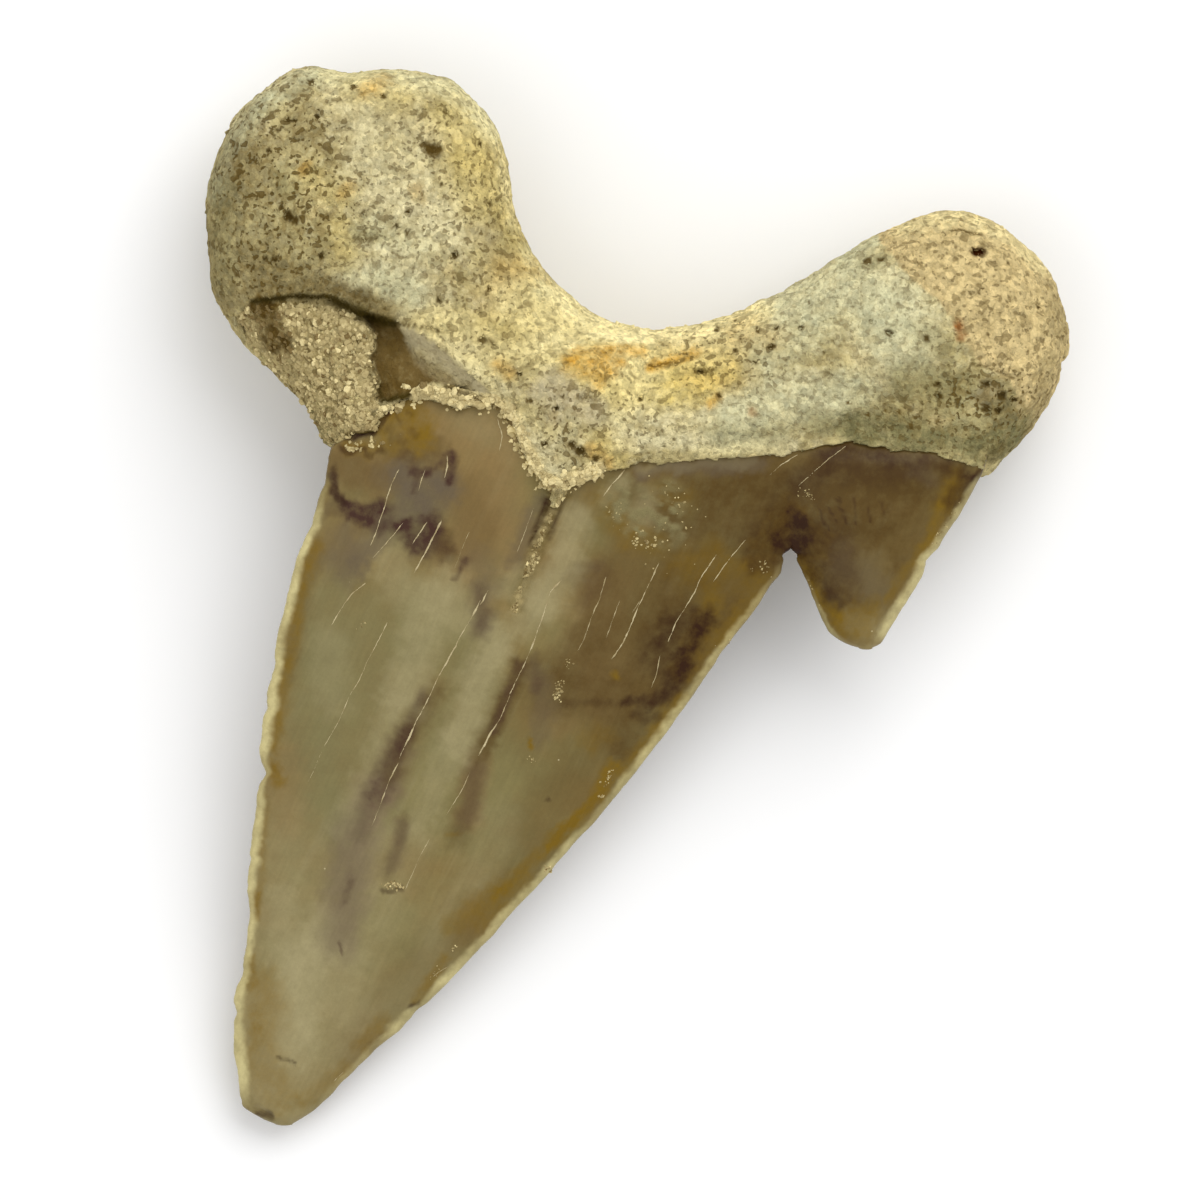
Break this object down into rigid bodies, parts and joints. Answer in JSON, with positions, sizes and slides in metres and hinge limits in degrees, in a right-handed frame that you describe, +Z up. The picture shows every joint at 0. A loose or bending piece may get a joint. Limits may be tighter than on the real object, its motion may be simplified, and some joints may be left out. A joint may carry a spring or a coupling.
{
  "type": "fossil shark tooth",
  "caption": "Fossil shark tooth lying lip side up: a slanting blade-like crown with one side cusplet on a two-lobed root.",
  "frame": {"origin": "on the surface that the tooth rests on, under the middle of its overall length and width", "axes": "+X across the tooth towards the cusplet, +Y from the crown's tip towards the root, +Z up, out of the lip side"},
  "size_m": [0.0429, 0.0528, 0.0117],
  "materials": {
    "fossil": "satin enamel on the crown and cusplet, matt porous bone and sand on the root"
  },
  "bodies": {
    "root": {"tooth": "fossil"}
  },
  "joints": []
}
